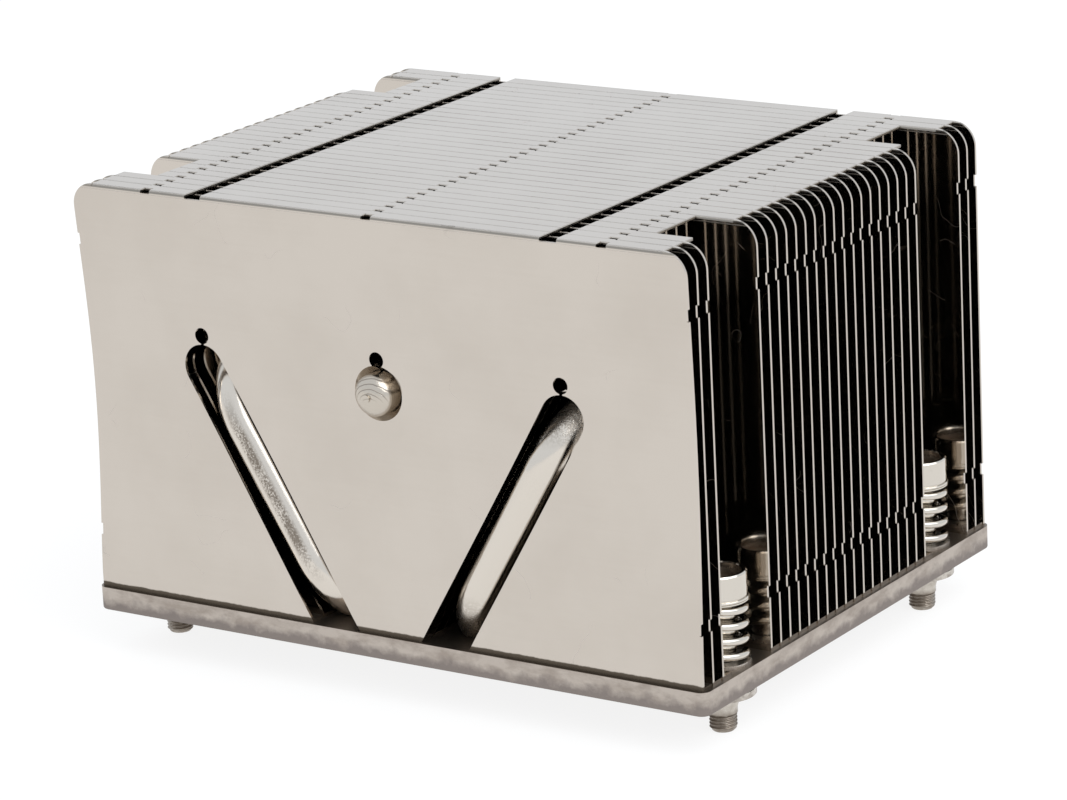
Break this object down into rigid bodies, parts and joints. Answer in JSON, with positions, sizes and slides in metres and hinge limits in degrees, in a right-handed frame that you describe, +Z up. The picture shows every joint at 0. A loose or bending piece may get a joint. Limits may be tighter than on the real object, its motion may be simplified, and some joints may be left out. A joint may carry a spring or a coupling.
{
  "type": "passive server cpu heatsink",
  "caption": "Passive processor heatsink: folded fin stack on a flat base plate, bent heat pipes through the fins, and spring-loaded captive screws in corner wells.",
  "frame": {"origin": "under the middle of the base plate, in the plane of the four screw tips that it stands on", "axes": "+X along the front face to the right, +Y from the front fin to the rear fin, +Z up from the base plate to the fins' tops"},
  "size_m": [0.104, 0.084, 0.0706],
  "materials": {
    "base_nickel": "dull nickel plating with mottled handling marks",
    "fin_sheet": "bright rolled sheet with fine grain",
    "pipe_nickel": "satin nickel plating on copper, rubbed",
    "screw_steel": "turned and plated",
    "spring_steel": "bright spring wire",
    "washer_steel": "stamped and plated",
    "clip_steel": "stamped and plated"
  },
  "bodies": {
    "root": {"base_plate": "base_nickel", "fin_01": "fin_sheet", "fin_02": "fin_sheet", "fin_03": "fin_sheet", "fin_04": "fin_sheet", "fin_05": "fin_sheet", "fin_06": "fin_sheet", "fin_07": "fin_sheet", "fin_08": "fin_sheet", "fin_09": "fin_sheet", "fin_10": "fin_sheet", "fin_11": "fin_sheet", "fin_12": "fin_sheet", "fin_13": "fin_sheet", "fin_14": "fin_sheet", "fin_15": "fin_sheet", "fin_16": "fin_sheet", "fin_17": "fin_sheet", "fin_18": "fin_sheet", "fin_19": "fin_sheet", "fin_20": "fin_sheet", "fin_21": "fin_sheet", "fin_22": "fin_sheet", "fin_23": "fin_sheet", "fin_24": "fin_sheet", "fin_25": "fin_sheet", "fin_26": "fin_sheet", "fin_27": "fin_sheet", "fin_28": "fin_sheet", "fin_29": "fin_sheet", "fin_30": "fin_sheet", "fin_31": "fin_sheet", "fin_32": "fin_sheet", "heat_pipe_left": "pipe_nickel", "heat_pipe_middle": "pipe_nickel", "heat_pipe_right": "pipe_nickel", "spring_front_left": "spring_steel", "spring_front_right": "spring_steel", "spring_rear_left": "spring_steel", "spring_rear_right": "spring_steel", "washer_front_left": "washer_steel", "washer_front_right": "washer_steel", "washer_rear_left": "washer_steel", "washer_rear_right": "washer_steel"},
    "clip_front_left": {"clip_front_left": "clip_steel"},
    "screw_front_left": {"screw_front_left": "screw_steel"},
    "clip_front_right": {"clip_front_right": "clip_steel"},
    "screw_front_right": {"screw_front_right": "screw_steel"},
    "clip_rear_left": {"clip_rear_left": "clip_steel"},
    "screw_rear_left": {"screw_rear_left": "screw_steel"},
    "clip_rear_right": {"clip_rear_right": "clip_steel"},
    "screw_rear_right": {"screw_rear_right": "screw_steel"}
  },
  "joints": [
    {"name": "press_front_left", "type": "slide", "parent": "root", "child": "clip_front_left", "axis": [0, 0, -1], "range_m": [0, 0.0025], "stiffness_N_per_m": 5000, "springref_m": -0.003, "deforming": ["spring_front_left"]},
    {"name": "turn_front_left", "type": "hinge", "parent": "clip_front_left", "child": "screw_front_left", "pos_m": [-0.047, -0.02799, 0.01], "axis": [0, 0, -1], "continuous": true},
    {"name": "press_front_right", "type": "slide", "parent": "root", "child": "clip_front_right", "axis": [0, 0, -1], "range_m": [0, 0.0025], "stiffness_N_per_m": 5000, "springref_m": -0.003, "deforming": ["spring_front_right"]},
    {"name": "turn_front_right", "type": "hinge", "parent": "clip_front_right", "child": "screw_front_right", "pos_m": [0.047, -0.02799, 0.01], "axis": [0, 0, -1], "continuous": true},
    {"name": "press_rear_left", "type": "slide", "parent": "root", "child": "clip_rear_left", "axis": [0, 0, -1], "range_m": [0, 0.0025], "stiffness_N_per_m": 5000, "springref_m": -0.003, "deforming": ["spring_rear_left"]},
    {"name": "turn_rear_left", "type": "hinge", "parent": "clip_rear_left", "child": "screw_rear_left", "pos_m": [-0.047, 0.02799, 0.01], "axis": [0, 0, -1], "continuous": true},
    {"name": "press_rear_right", "type": "slide", "parent": "root", "child": "clip_rear_right", "axis": [0, 0, -1], "range_m": [0, 0.0025], "stiffness_N_per_m": 5000, "springref_m": -0.003, "deforming": ["spring_rear_right"]},
    {"name": "turn_rear_right", "type": "hinge", "parent": "clip_rear_right", "child": "screw_rear_right", "pos_m": [0.047, 0.02799, 0.01], "axis": [0, 0, -1], "continuous": true}
  ]
}
